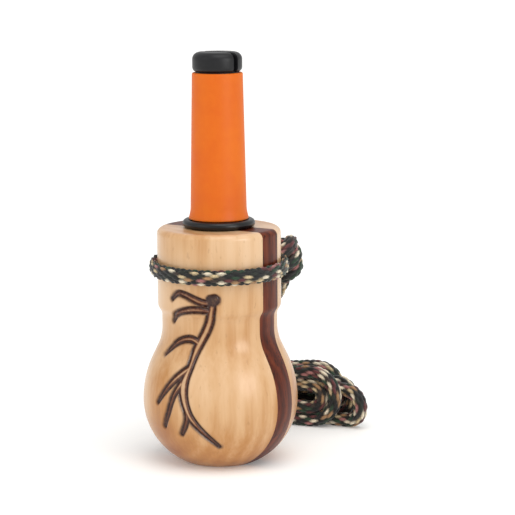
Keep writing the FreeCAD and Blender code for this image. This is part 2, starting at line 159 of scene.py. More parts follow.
def arcPoints(centre, radius, start, end, count):
    # points of a circle's arc between two angles in degrees
    angle = np.radians(np.linspace(start, end, count))
    return np.stack([centre[0] + radius * np.cos(angle), centre[1] + radius * np.sin(angle)], -1)


def steppedLine(start, end, step):
    # points along a straight line, close to a step apart
    start, end = np.array(start, float), np.array(end, float)
    return np.linspace(start, end, max(2, int(np.linalg.norm(end - start) / step)))


def turned(profile, segments):
    # a closed outline of radius and height carried once round the Z axis
    angle = np.linspace(0, 2 * np.pi, segments, endpoint=False)
    radius, height = profile[:, :1], profile[:, 1:]
    return np.stack([radius * np.cos(angle), radius * np.sin(angle), height + 0 * angle], -1)


# camera

cameraView = {
    "azimuth": 34.0,        # degrees round from straight in front
    "distance": 0.700,      # from the bell's axis
    "height": 0.184,
    "aimRight": 0.0127,     # aims a little to the right of the axis
    "aimHeight": 0.0681,
    "roll": -0.42,          # degrees
    "focalLength": 149.6,   # mm
    "sensor": 36.0,         # mm
}


def makeCamera():
    turn = math.radians(cameraView["azimuth"])
    right = Vector((math.cos(turn), math.sin(turn), 0))
    away = Vector((-math.sin(turn), math.cos(turn), 0))
    data = bpy.data.cameras.new("camera")
    data.lens = cameraView["focalLength"]
    data.sensor_width = cameraView["sensor"]
    data.dof.use_dof = False
    camera = bpy.data.objects.new("camera", data)
    place = -away * cameraView["distance"] + Vector((0, 0, cameraView["height"]))
    aim = right * cameraView["aimRight"] + Vector((0, 0, cameraView["aimHeight"]))
    look = (aim - place).to_track_quat("-Z", "Y").to_matrix().to_4x4()
    roll = Matrix.Rotation(math.radians(cameraView["roll"]), 4, "Z")
    camera.matrix_world = Matrix.Translation(place) @ look @ roll
    bpy.context.scene.collection.objects.link(camera)
    bpy.context.scene.camera = camera


makeCamera()
print("camera set")


# lanyard: one braided cord, as a loop, a slip knot and a noose

lanyard = {
    "diameter": 0.0048,
    "nearStrand": [
        (0.0066, 0.0246, 0.0570),
        (0.0021, 0.0264, 0.0475),
        (-0.0075, 0.0296, 0.0405),
        (-0.0183, 0.0345, 0.0350),
        (-0.0290, 0.0400, 0.0300),
        (-0.0373, 0.0440, 0.0245),
        (-0.0423, 0.0453, 0.0175),
    ],
    "farStrand": [
        (0.0062, 0.0300, 0.0570),
        (0.0009, 0.0320, 0.0485),
        (-0.0080, 0.0358, 0.0425),
        (-0.0180, 0.0410, 0.0375),
        (-0.0275, 0.0468, 0.0325),
        (-0.0360, 0.0528, 0.0270),
        (-0.0428, 0.0580, 0.0200),
    ],
    "hankTurn": 11.0,         # degrees, the way the hank points
    "hankDistance": 0.0592,   # from the bell's axis to the hank's middle
    "yarns": 8,               # each way round the braid
    "lay": 0.034,             # length in which a yarn goes once round
    "relief": 0.00058,        # metres of rise for one unit of the braid's height
    "ringStep": 0.00042,      # mesh rings along the cord
    "ringPoints": 40,
    "flatThickness": 0.0025,  # where the noose is pulled flat against the neck
    "flatHeight": 0.0050,
    "flatRelief": 1.7,        # makes up for the relief lost in the pulling
}

# the hank's folds, in mm along, across and above the ground
hank = {
    "left": -26.7, "right": 13.4,   # middles of the folds at its two ends
    "ground": 2.4,                  # the cord's middle when it lies on the ground
    "near": -7.2, "far": 7.2,       # its two outer layers
}

# yarn colours with the share of the visible floats that each has
yarnShades = [
    ("#0C0A08", 0.29), ("#141B0F", 0.12), ("#1D3A22", 0.14), ("#33241A", 0.08), ("#5E2A2A", 0.08),
    ("#A66C68", 0.06), ("#A88058", 0.07), ("#E9DBC0", 0.11), ("#CDB68C", 0.05),
]


def hankPoint(along, across, height):
    # from the hank's own length, depth and height (mm) to the bell's frame
    turn = math.radians(lanyard["hankTurn"])
    s, w = along * mm, across * mm + lanyard["hankDistance"]
    x, y = s * math.cos(turn) - w * math.sin(turn), s * math.sin(turn) + w * math.cos(turn)
    return (x, y, height * mm)


def fold(centre, height, radius, start, end, acrossStart, acrossEnd, steps=6):
    # one end of a turn: an arc in the hank's plane that drifts across its depth; the points lie
    # a little outside the arc, because the smooth curve passes inside them
    share = np.linspace(0, 1, steps)
    angle = np.radians(start + (end - start) * share)
    reach = radius * 1.035
    across = acrossStart + (acrossEnd - acrossStart) * share
    along, up = centre + reach * np.cos(angle), height + reach * np.sin(angle)
    return [hankPoint(*place) for place in zip(along, across, up)]


def row(alongStart, alongEnd, heightStart, heightEnd, acrossStart, acrossEnd, lift=0.0):
    # the three points between two folds, with a little sway; a lift raises the middle one
    places = []
    for share, sway in ((0.2, 0.25), (0.5, -0.3), (0.8, 0.2)):
        along = alongStart + (alongEnd - alongStart) * share
        across = acrossStart + (acrossEnd - acrossStart) * share + sway
        height = heightStart + (heightEnd - heightStart) * share + lift * (1 - abs(2 * share - 1))
        places.append(hankPoint(along, across, height))
    return places


def lanyardRoute():
    # down the near strand, round the hank, through the bight and back up the far strand
    left, right, ground, near, far = (hank[k] for k in ("left", "right", "ground", "near", "far"))
    route = list(lanyard["nearStrand"])
    route += fold(left, 11.0, 8.6, 165, 270, -7.0, near, 4)
    route += row(left, right, ground, ground, near, near)
    route += fold(right, 11.0, 8.6, -90, 90, near, near)
    route += row(right, left, 19.6, 15.4, near, near)
    route += fold(left, 10.9, 4.5, 90, 270, near, near)
    route += row(left, right, 6.6, 6.6, near, near)
    route += fold(right - 0.4, 10.9, 4.1, -90, 90, near, -6.9)
    route += row(right, left, 15.0, 16.0, -6.4, -2.6, -1.6)
    route += fold(left, 9.2, 6.8, 90, 270, -2.4, -2.4)
    route += row(left, 25.8, ground, ground, -2.4, -2.8)
    route += fold(25.8, 7.7, 5.3, -90, 0, -3.4, -6.4, 4)
    route += fold(25.8, 7.7, 5.3, 22, 90, -6.0, -3.4, 3)
    route += row(25.8, left, 13.4, 15.0, -2.6, -1.0)
    route += fold(left, 8.6, 6.1, 90, 270, -0.6, 2.4)
    route += row(left, 19.4, ground, 3.0, 2.4, 2.2)
    route += fold(19.4, 8.8, 5.9, -90, 90, 1.8, 2.2)
    back = list(lanyard["farStrand"])
    back += fold(left, 11.0, 8.6, 165, 270, 6.4, far, 4)
    back += row(left, 10.5, ground, ground, far, far)
    back += fold(10.5, 10.4, 8.0, -90, 90, far, far)
    back += row(10.5, left, 18.4, 15.2, far, far)
    back += fold(left, 10.9, 4.3, 90, 270, far, far)
    back += row(left, 17.4, 6.8, 6.2, far, 6.6, 0.8)
    back += fold(17.4, 10.0, 3.9, -90, 90, 6.6, 6.2)
    back += row(17.4, left, 13.8, 14.8, 6.2, 3.4, -2.4)
    back += fold(left, 10.8, 4.0, 90, 270, 3.2, 2.6)
    back += row(left, 18.6, 7.0, 13.4, 2.4, 2.2)
    return route + back[::-1]


def splineLine(name, controlPoints, closed=False):
    # points read off a smooth NURBS curve through the route
    curve = bpy.data.curves.new(name, "CURVE")
    curve.dimensions = "3D"
    curve.resolution_u = 10
    spline = curve.splines.new("NURBS")
    spline.points.add(len(controlPoints) - 1)
    spline.points.foreach_set("co", np.column_stack([controlPoints, np.ones(len(controlPoints))]).ravel())
    spline.order_u = 3
    spline.use_cyclic_u = closed
    spline.use_endpoint_u = not closed
    holder = bpy.data.objects.new(name, curve)
    drawn = bpy.data.meshes.new_from_object(holder)
    line = np.zeros(len(drawn.vertices) * 3)
    drawn.vertices.foreach_get("co", line)
    bpy.data.objects.remove(holder)
    bpy.data.meshes.remove(drawn)
    bpy.data.curves.remove(curve)
    return line.reshape(-1, 3)


def evenly(line, step, closed=False):
    # the same line with its points an even step apart
    if closed:
        line = np.vstack([line, line[:1]])
    gaps = np.linalg.norm(np.diff(line, axis=0), axis=1)
    travel = np.concatenate([[0], np.cumsum(gaps)])
    count = int(round(travel[-1] / step)) + 1
    stops = np.linspace(0, travel[-1], count)
    if closed:
        stops = stops[:-1]
    places = np.stack([np.interp(stops, travel, line[:, i]) for i in range(3)], -1)
    return places, stops, travel[-1]


def alongFrames(line, closed=False):
    # two directions across the line at each point, carried along it without twist
    ahead = np.roll(line, -1, axis=0) - np.roll(line, 1, axis=0)
    if not closed:
        ahead[0], ahead[-1] = line[1] - line[0], line[-1] - line[-2]
    ahead /= np.linalg.norm(ahead, axis=1)[:, None]
    side = np.zeros_like(line)
    start = np.cross(ahead[0], (0.3, 0.2, 0.93))
    side[0] = start / np.linalg.norm(start)
    for i in range(1, len(line)):
        carried = side[i - 1] - ahead[i] * np.dot(side[i - 1], ahead[i])
        side[i] = carried / np.linalg.norm(carried)
    return side, np.cross(ahead, side)


def braidSurface(angle, travel, shift=0):
    # Two families of yarns wind opposite ways. Each yarn is a rounded ridge, the root of one less
    # the squared distance from its middle, that lies over the other family at every second
    # crossing by a cosine; the surface is whichever ridge is higher. A float is the stretch of one
    # yarn between two dips: it is numbered by its yarn and its place along the cord, and a
    # scrambled mix of the two numbers draws its dye. Part of the draw is shared by four floats
    # in a row, so that a dye comes in short runs.
    yarns, narrow, ridge, weave, run = lanyard["yarns"], 1.9, 1.3, 0.7, 0.32
    turns = yarns * angle / (2 * np.pi)
    climb = yarns * travel / lanyard["lay"]
    rightward, leftward = turns + climb, turns - climb
    i, j = np.round(rightward), np.round(leftward)
    rightRidge = np.sqrt(np.clip(1 - (narrow * (rightward - i)) ** 2, 0.02, 1))
    leftRidge = np.sqrt(np.clip(1 - (narrow * (leftward - j)) ** 2, 0.02, 1))
    rightHeight = ridge * rightRidge + weave * np.cos(np.pi * (leftward + i))
    leftHeight = ridge * leftRidge - weave * np.cos(np.pi * (rightward + j))
    overRight = rightHeight > leftHeight
    height = np.maximum(rightHeight, leftHeight)
    yarn = np.where(overRight, i % yarns, yarns + j % yarns)
    place = np.where(overRight, np.round((leftward - i) / 2), np.round((rightward - j - 1) / 2))
    scramble = np.sin(yarn * 12.9898 + place * 78.233 + shift * 37.719) * 43758.5453
    steady = np.sin(yarn * 4.1414 + np.floor(place / 4 + yarn * 0.37) * 9.71 + shift) * 9631.27
    draw = (1 - run) * (scramble - np.floor(scramble)) + run * (steady - np.floor(steady))
    # two even draws add up to a flat-topped hill: this evens the sum out again
    slope = 2 * run * (1 - run)
    low, high = draw ** 2 / slope, 1 - (1 - draw) ** 2 / slope
    middle = (draw - run / 2) / (1 - run)
    draw = np.where(draw < run, low, np.where(draw > 1 - run, high, middle))
    return height, np.clip(draw, 0, 0.9999)


def braidPiece(name, line, body, material, closed=False, shift=0, flatten=None):
    # a round cord with the braid's relief, coloured float by float, with painted shade in the dips
    # between yarns
    places, travel, length = evenly(line, lanyard["ringStep"], closed)
    side, up = alongFrames(places, closed)
    angle = np.linspace(0, 2 * np.pi, lanyard["ringPoints"], endpoint=False)
    angleGrid, travelGrid = np.meshgrid(angle, travel)
    if closed:    # a whole number of quarter lays, so that the ring's ends meet
        lays = round(length / lanyard["lay"] * 4) / 4
        travelGrid = travelGrid * (lays * lanyard["lay"] / length)
    height, draw = braidSurface(angleGrid, travelGrid, shift)
    middleHeight = 1.75
    rise = lanyard["relief"] * (height - middleHeight) * (lanyard["flatRelief"] if flatten else 1.0)
    radius = lanyard["diameter"] / 2 + rise
    cosine, sine = np.cos(angle)[None, :, None], np.sin(angle)[None, :, None]
    points = places[:, None] + (side[:, None] * cosine + up[:, None] * sine) * radius[..., None]
    if flatten:
        points = flatten(places, points)
    shares = np.cumsum([share for _, share in yarnShades])
    shades = np.array([linearColour(shade) for shade, _ in yarnShades])
    colour = shades[np.searchsorted(shares / shares[-1], draw.ravel())]
    # painted shade in the dips between yarns: 5 percent of the colour at the bottom, all of it on top
    depth = np.clip((height.ravel() - 0.75) / 1.1, 0, 1)
    colour[:, :3] *= (0.05 + 0.95 * depth ** 1.4)[:, None]
    faces = gridFaces(len(places), len(angle), closed, True)
    ends = []
    if not closed:
        count = len(angle)
        ends = [np.arange(count)[::-1], np.arange(count) + (len(places) - 1) * count]
    piece = meshPiece(name, points, [*faces, *ends], material, body,
                      {"yarnDyeAndShade": colour})
    return piece, places, length


def braidMaterial():
    # Braided polyester lanyard cord: matt, fuzzy fibres that catch a little light at their edges.
    material, tree = newMaterial("braidedPolyester")
    # the point colours hold the yarns' dye and the painted shade in the dips between them
    shade = addNode(tree, "ShaderNodeAttribute", attribute_name="yarnDyeAndShade")
    place = addNode(tree, "ShaderNodeTexCoord").outputs["Object"]
    # fibres about 0.15 mm apart, drawn at 0.35 mm so that they show
    fibres = addNode(tree, "ShaderNodeTexNoise", {"Vector": place, "Scale": 2800.0, "Detail": 2.0})
    worn = remap(tree, fibres.outputs["Fac"], (0.3, 0.7), (0.72, 1.22))
    tint = addNode(tree, "ShaderNodeVectorMath", {
        0: shade.outputs["Color"], "Scale": worn}, operation="SCALE")
    bump = addNode(tree, "ShaderNodeBump", {
        "Height": fibres.outputs["Fac"], "Strength": 0.5, "Distance": 0.0002})
    finishMaterial(tree, {
        "Base Color": tint.outputs[0], "Roughness": 0.62, "Normal": bump.outputs[0],
        "Sheen Weight": 0.25, "Sheen Roughness": 0.5, "Specular IOR Level": 0.35,
    })
    return material


slipKnot = {
    "turn": 77.0,         # degrees round the bell
    "distance": 0.0287,
    "height": 0.0642,
    "coilRadius": 0.0055,
    "coilRise": 0.0044,
    "turns": 2.6,
    "start": 2.4,         # radians, where the first wrap begins
    "lean": 24.0,         # degrees that the wraps lean over
    "leanAxis": (1, 0.4, 0),
    # the end that comes in from below, and the one that crosses over the wraps
    "tail": [(-0.0006, -0.0015, -0.0085), (0.0004, 0.0004, -0.0075)],
    "crown": [(0.0028, 0.0028, 0.0058), (0.0012, 0.0054, 0.0044), (-0.0010, 0.0066, 0.0018),
              (-0.0024, 0.0056, -0.0010)],
}


def knotRoute():
    # the working end wraps round the standing strands as a leaning helix, narrower at both ends
    # by the root of a sine, and crosses over the top
    share = np.linspace(0, 1, 30)
    angle = 2 * np.pi * slipKnot["turns"] * share + slipKnot["start"]
    radius = slipKnot["coilRadius"] * np.sin(np.pi * (0.18 + 0.69 * share)) ** 0.5
    rise = slipKnot["coilRise"] * slipKnot["turns"] * (share - 0.5)
    wraps = np.stack([radius * np.cos(angle), radius * np.sin(angle), rise], -1)
    path = np.vstack([slipKnot["tail"], wraps, slipKnot["crown"]])
    axis = Vector(slipKnot["leanAxis"]).normalized()
    lean = Matrix.Rotation(math.radians(slipKnot["lean"]), 3, axis)
    turn, distance = math.radians(slipKnot["turn"]), slipKnot["distance"]
    middle = np.array([distance * math.cos(turn), distance * math.sin(turn), slipKnot["height"]])
    return path @ np.array(lean).T + middle


noose = {
    "neck": 0.0205,       # the bell's radius there
    "height": 0.0657,
    "slope": 0.030,       # it rises this much per metre away from the camera
    "clearance": 0.00004,
    "routePoints": 24,
}


def nooseHeight(x, y):
    # height of the noose's middle over a point of the bell's frame
    turn = math.radians(cameraView["azimuth"])
    away = y * math.cos(turn) - x * math.sin(turn)
    return noose["height"] + noose["slope"] * away


def nooseRoute():
    # a leaning ring round the neck, with its inner side on the wood
    count = noose["routePoints"]
    angle = np.linspace(0, 2 * np.pi, count, endpoint=False)
    # the smooth curve passes inside its points, so they lie a little further out
    radius = (noose["neck"] + lanyard["flatThickness"] / 2) / math.cos(math.pi / count) ** 2
    x, y = radius * np.cos(angle), radius * np.sin(angle)
    return np.stack([x, y, nooseHeight(x, y)], -1)


def pullFlat(places, points):
    # The braid's round section becomes an oval against the neck: each point's distance in or out
    # from the cord's middle shrinks, its distance up or down grows, and none goes into the wood.
    middle = np.hypot(places[:, 0], places[:, 1])[:, None]
    reach = np.hypot(points[..., 0], points[..., 1])
    outward = (reach - middle) * lanyard["flatThickness"] / lanyard["diameter"]
    lift = (points[..., 2] - places[:, None, 2]) * lanyard["flatHeight"] / lanyard["diameter"]
    newReach = np.maximum(middle + outward, noose["neck"] + noose["clearance"])
    scale = newReach / reach
    return np.stack([points[..., 0] * scale, points[..., 1] * scale, places[:, None, 2] + lift], -1)


braid = braidMaterial()
loopLine = splineLine("lanyardLoopLine", lanyardRoute())
lanyardLoop, loopPath, loopLength = braidPiece("lanyardLoop", loopLine, "lanyard", braid)
nooseLine = splineLine("nooseLine", nooseRoute(), True)
nooseRing, _, nooseLength = braidPiece("lanyardNoose", nooseLine, "lanyard", braid, True, 7, pullFlat)
knotLine = splineLine("knotLine", knotRoute())
knotBody, _, knotLength = braidPiece("lanyardSlipKnot", knotLine, "lanyard", braid, False, 5)
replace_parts(lanyardLoop, "lanyard_strand_near", "lanyard_strand_far", "lanyard_hank")
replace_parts(nooseRing, "lanyard_noose")
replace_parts(knotBody, "lanyard_slip_knot")
print("lanyard: loop %.3f m, noose %.3f m, knot %.3f m" % (loopLength, nooseLength, knotLength))


# wood

def woodMaterial(name, look):
    # Turned timber under a clear satin lacquer: growth rings seen as soft bands, fibres running up
    # the bell, small pores or flecks, and a slow drift of colour across the wood.
    material, tree = newMaterial(name)
    place = addNode(tree, "ShaderNodeTexCoord").outputs["Object"]
    pith = addNode(tree, "ShaderNodeMapping", {
        "Vector": place, "Location": look["pith"], "Rotation": look["tilt"]})
    rings = addNode(tree, "ShaderNodeTexWave", {
        "Vector": pith.outputs[0], "Scale": 2 * math.pi / (20 * look["ringWidth"]),
        "Distortion": look["ringWander"], "Detail": 2.0, "Detail Scale": 0.35, "Detail Roughness": 0.6,
    }, wave_type="RINGS", rings_direction="Z", wave_profile="SIN")
    fibres = noise(tree, stretched(tree, place, 0.06), look["fibreWidth"], 5.0, 0.6)
    flecks = noise(tree, stretched(tree, place, look["fleckStretch"]), look["fleckSize"], 2.0)
    drift = noise(tree, stretched(tree, place, 0.7), look["driftSize"], 1.5)
    ringPart = maths(tree, "MULTIPLY", rings.outputs["Fac"], look["ringShare"])
    fibrePart = maths(tree, "MULTIPLY_ADD", fibres, look["fibreShare"], ringPart)
    figure = maths(tree, "MULTIPLY_ADD", drift, look["driftShare"], fibrePart)
    # darker towards the foot: partly the wood's own amber tone there, partly painted shade for the lower
    # belly, which gets less light from below
    rise = addNode(tree, "ShaderNodeSeparateXYZ", {0: place}).outputs[2]
    footShadePart = remap(tree, rise, (0.003, 0.034), (-look["footAmberAndShade"], 0.0))
    colour = ramp(tree, maths(tree, "ADD", figure, footShadePart), look["shades"])
    fleckRange = (look["fleckEdge"], look["fleckEdge"] + 0.08)
    fleckMask = remap(tree, flecks, fleckRange, (0.0, look["fleckDark"]))
    colour = mixed(tree, fleckMask, colour, linearColour(look["fleckShade"]))
    if look.get("burned"):
        uneven = remap(tree, noise(tree, place, 1 / 900, 3.0), (0.3, 0.7), (0.8, 1.1))
        for attribute, shade in look["burned"].items():
            amount = addNode(tree, "ShaderNodeAttribute", attribute_name=attribute).outputs["Fac"]
            share = maths(tree, "MULTIPLY", amount, uneven, clamp=True)
            colour = mixed(tree, share, colour, linearColour(shade))
    roughness = remap(tree, fibres, (0.3, 0.7), (0.34, 0.46))
    height = maths(tree, "MULTIPLY_ADD", fibres, 0.6, flecks)
    bump = addNode(tree, "ShaderNodeBump", {"Height": height, "Strength": 0.12, "Distance": 0.0003})
    finishMaterial(tree, {
        "Base Color": colour, "Roughness": roughness, "Normal": bump.outputs[0],
        "Coat Weight": look["gloss"], "Coat Roughness": 0.27, "Coat IOR": 1.5,
        "Specular IOR Level": 0.15,
    })
    return material


mapleLook = {
    "pith": (0.045, 0.11, 0.0), "tilt": (0.05, -0.04, 0.0),
    "ringWidth": 0.0052, "ringWander": 5.0, "ringShare": 0.05,
    "fibreWidth": 0.0014, "fibreShare": 0.15,
    "driftSize": 0.022, "driftShare": 0.60, "footAmberAndShade": 0.24, "gloss": 0.7,
    "fleckSize": 0.0011, "fleckStretch": 0.35, "fleckEdge": 0.64, "fleckDark": 0.22,
    "fleckShade": "#9A6A3C",
    "shades": [(0.10, "#98581F"), (0.26, "#BB8349"), (0.36, "#D1A474"), (0.46, "#DDB68C"),
               (0.62, "#E7C7A4")],
}
walnutLook = {
    "pith": (0.03, -0.07, 0.0), "tilt": (-0.03, 0.05, 0.0),
    "ringWidth": 0.0035, "ringWander": 4.0, "ringShare": 0.22,
    "fibreWidth": 0.0010, "fibreShare": 0.55,
    "driftSize": 0.014, "driftShare": 0.34, "footAmberAndShade": 0.06, "gloss": 0.12,
    "fleckSize": 0.0008, "fleckStretch": 0.12, "fleckEdge": 0.58, "fleckDark": 0.75,
    "fleckShade": "#24110B",
    "shades": [(0.30, "#381004"), (0.50, "#541F0B"), (0.66, "#672B13"), (0.84, "#7E4020")],
}


# the bell

bell = {
    "height": 78.6, "neck": 20.5, "topRound": 2.0, "neckRound": 3.0, "cove": 4.0,
    "waist": 19.15, "waistTop": 49.4, "waistFoot": 46.0, "flare": 16.0,
    "belly": 25.8, "bellyHeight": 21.0, "bellyUpper": 33.0, "bellyLower": 23.0,
    "socket": 7.94, "port": 9.5, "portDepth": 52.0, "portChamfer": 0.8, "socketChamfer": 0.4,
    "slab": 4.4,          # half the walnut's thickness
    "carvedTop": 61.0,    # the rows are close together below this
    "fine": 0.26,         # mm between rows where the carving lies
}


def bellOutline():
    # radius and height (mm) round the wall: top, neck, cove, waist, flank, belly,
    # foot, sound port and socket; the outside's neighbouring arcs share their tangents
    neck, waist, belly, bellyZ = bell["neck"], bell["waist"], bell["belly"], bell["bellyHeight"]
    top, rim, edge, cove = bell["height"], bell["topRound"], bell["neckRound"], bell["cove"]
    flare, upper, lower = bell["flare"], bell["bellyUpper"], bell["bellyLower"]
    port, socket, fine, carvedTop = bell["port"], bell["socket"], bell["fine"], bell["carvedTop"]
    turn = math.degrees(math.acos(1 - (neck - waist) / (edge + cove)))
    edgeZ = bell["waistTop"] + (edge + cove) * math.sin(math.radians(turn))
    # the straight flank is the inner tangent of the flare's and the upper belly's circles
    flareCentre = np.array([waist + flare, bell["waistFoot"]])
    bellyCentre = np.array([belly - upper, bellyZ])
    between = flareCentre - bellyCentre
    opening = math.acos((flare + upper) / np.linalg.norm(between))
    flank = math.degrees(math.atan2(between[1], between[0]) - opening)
    away = np.array([math.cos(math.radians(flank)), math.sin(math.radians(flank))])
    flareFoot, bellyTop = flareCentre - flare * away, bellyCentre + upper * away
    footTurn = math.degrees(math.asin(bellyZ / lower))
    footRadius = belly - lower + math.sqrt(lower ** 2 - bellyZ ** 2)
    pieces = [
        np.linspace((socket + bell["socketChamfer"], top), (neck - rim, top), 12),
        arcPoints((neck - rim, top - rim), rim, 90, 0, 12),
        np.linspace((neck, top - rim), (neck, carvedTop), 14),
        steppedLine((neck, carvedTop), (neck, edgeZ), fine),
        arcPoints((neck - edge, edgeZ), edge, 0, -turn, 10),
        arcPoints((waist + cove, bell["waistTop"]), cove, 180 - turn, 180, 12),
        np.linspace((waist, bell["waistTop"]), (waist, bell["waistFoot"]), 13),
        arcPoints(flareCentre, flare, 180, 180 + flank, 56),
        steppedLine(flareFoot, bellyTop, fine),
        arcPoints(bellyCentre, upper, flank, 0, 100),
        arcPoints((belly - lower, bellyZ), lower, 0, -footTurn, 92),
        np.linspace((footRadius, 0), (port + bell["portChamfer"], 0), 3),
        np.linspace((port, bell["portChamfer"]), (port, bell["portDepth"]), 12),
        np.linspace((socket, bell["portDepth"]), (socket, top - bell["socketChamfer"]), 8),
    ]
    outline = np.vstack(pieces)
    keep = np.concatenate([[True], np.linalg.norm(np.diff(outline, axis=0), axis=1) > 1e-4])
    return outline[keep]


# a stylised elk antler: each branch is (degrees round the bell, height in mm, half width in mm)
antler = {
    "beam": [
        (-63.0, 56.0, 1.5), (-64.0, 53.0, 1.6), (-66, 50.0, 1.75), (-69.5, 47.0, 1.75),
        (-74.5, 44.0, 1.75), (-79, 41.0, 1.75), (-81, 38.0, 1.5), (-82.5, 35.0, 1.45),
        (-85, 32.0, 1.75), (-86, 29.2, 2.0), (-85, 26, 1.8), (-82.5, 22.5, 1.6), (-79.5, 19.6, 1.55),
        (-75, 17.0, 1.35), (-69.5, 14.4, 1.15), (-63, 11.7, 0.95), (-57.5, 9.6, 0.75),
    ],
    "brow": [
        (-65, 56.4, 1.3), (-71.5, 56.4, 1.4), (-79.5, 57.4, 1.4), (-89, 58.8, 1.3), (-98.5, 59.4, 1.1),
        (-105.5, 57.0, 0.85),
    ],
    "bez": [
        (-67, 53.8, 1.2), (-75, 54.2, 1.35), (-84.5, 54.0, 1.35), (-95, 53.1, 1.2), (-104, 51.6, 1.05),
        (-108.5, 49.4, 0.85),
    ],
    "trez": [
        (-76, 42.6, 1.5), (-84, 44.2, 1.4), (-93, 43.9, 1.3), (-102.5, 42.5, 1.25), (-109, 40.4, 1.05),
        (-114.5, 38.2, 0.8),
    ],
    "royal": [
        (-82, 35.4, 1.4), (-88, 33.5, 1.5), (-94, 31.4, 1.5), (-99.5, 28.8, 1.3), (-104.5, 26.0, 1.1),
        (-109.5, 23.0, 0.8),
    ],
    "forkLeft": [
        (-88, 30.0, 1.5), (-93, 26.9, 1.25), (-95.6, 23.7, 1.15), (-98, 20.2, 1.1), (-103.5, 15.4, 0.85),
    ],
    "forkMiddle": [(-82, 21.4, 1.3), (-81.8, 18.8, 1.15), (-83.8, 16.2, 1.1), (-87.6, 13.6, 0.9)],
    "burr": [(-61.0, 57.6, 2.0), (-64.0, 57.6, 1.8)],
}
carving = {
    "lineDepth": 0.6, "insideDepth": 0.2,    # mm
    "lineInset": 0.42, "lineWidth": 0.50,    # mm, the burned outline inside the edge
    "paleStart": 1.12, "paleBlend": 0.3,     # mm inside the edge, where the toast gets paler
    "burr": (-62.5, 57.4, 2.35),             # the scorched knob: degrees, height, radius
    "haloReach": 0.4, "haloShare": 0.3,      # the scorch outside the edge
    "columns": (-118, -51),                  # degrees between which the columns are close
    "toastShade": "#6A3110", "charShade": "#300F03",
}


def smoothBranch(points):
    # rounds the corners of a branch by cutting them three times
    points = np.array(points, float)
    for _ in range(3):
        inner = np.empty((2 * len(points) - 2, 3))
        inner[0::2] = 0.75 * points[:-1] + 0.25 * points[1:]
        inner[1::2] = 0.25 * points[:-1] + 0.75 * points[1:]
        points = np.vstack([points[:1], inner, points[-1:]])
    return points


farOff = 99.0    # mm, for a point that is nowhere near the carving


def carvedField(angle, height, radius):
    # Distance in mm from every surface point to the antler's edge, negative inside it: the least,
    # over all short pieces of all branches, of the distance to the piece less its half width.
    across = np.radians(angle) * radius
    edge = np.full(angle.shape, farOff)
    for points in antler.values():
        branch = smoothBranch(points)
        for (a0, h0, w0), (a1, h1, w1) in zip(branch[:-1], branch[1:]):
            x0, x1 = math.radians(a0) * radius, math.radians(a1) * radius
            dx, dh = x1 - x0, h1 - h0
            share = ((across - x0) * dx + (height - h0) * dh) / (dx * dx + dh * dh)
            share = np.clip(share, 0, 1)
            gap = np.hypot(across - x0 - share * dx, height - h0 - share * dh)
            edge = np.minimum(edge, gap - (w0 + (w1 - w0) * share))
    return edge


def sectorWall(outline, startAngle, endAngle, columns):
    # Part of the turned wall between two upright planes. Each row runs from one plane to the
    # other; the corner angle at radius r is the one whose sine is half slab thickness over r.
    radius, height = outline[:, :1], outline[:, 1:]
    corner = np.degrees(np.arcsin(bell["slab"] / radius))
    start = startAngle[0] + startAngle[1] * corner
    end = endAngle[0] + endAngle[1] * corner
    angle = start + (end - start) * columns[None, :]
    return angle, radius + 0 * angle, height + 0 * angle


def sectorFaces(rows, columns):
    # the wall's quads, and one flat face for each of its two sawn sides
    quads = gridFaces(rows, columns, wrapRows=True)
    sides = [np.arange(rows) * columns, (np.arange(rows) * columns + columns - 1)[::-1]]
    return [*quads, *sides]


def onWall(angle, radius, height):
    turn = np.radians(angle)
    return np.stack([radius * np.cos(turn), radius * np.sin(turn), height], -1) * mm


def frontHalf(outline, material):
    # the columns are close together where the carving lies
    start, end = carving["columns"]
    before, within = np.linspace(-180, start, 22)[:-1], np.linspace(start, end, 132)[:-1]
    columns = (np.concatenate([before, within, np.linspace(end, 0, 19)]) + 180) / 180
    angle, radius, height = sectorWall(outline, (-180, 1), (0, -1), columns)
    outerFace = np.arange(len(outline)) < np.argmin(outline[:, 1])
    edge = np.where(outerFace[:, None], carvedField(angle, height, radius), farOff)
    # the burned outline is a bell curve just inside the edge; the inside is toasted, with a paler
    # streak down the beam, and a faint halo of scorch dies away outside
    line = np.exp(-((edge + carving["lineInset"]) / carving["lineWidth"]) ** 2)
    inside = np.clip(-edge / 0.35, 0, 1)
    pale = np.clip((-edge - carving["paleStart"]) / carving["paleBlend"], 0, 1)
    burrAngle, burrHeight, burrRadius = carving["burr"]
    burr = np.hypot(np.radians(angle - burrAngle) * radius, height - burrHeight)
    scorched = np.clip((burrRadius - burr) / 0.5, 0, 1) * (edge < 0.3)
    halo = np.exp(-(np.clip(edge, 0, None) / carving["haloReach"]) ** 2)
    halo = halo * carving["haloShare"] * (edge > 0)
    char = np.clip(np.maximum(line * 1.25, scorched), 0, 1)
    toast = np.clip(np.maximum(inside * (1 - 0.75 * pale), halo), 0, 1)
    cut = carving["lineDepth"] * np.maximum(line, 0.6 * scorched) + carving["insideDepth"] * inside
    points = onWall(angle, radius - cut, height)
    front = meshPiece("bellMapleFront", points, sectorFaces(*angle.shape), material, "barrel",
                      {"toast": toast.ravel(), "char": char.ravel()}, sharp=50)
    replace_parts(front, "maple_front_half")


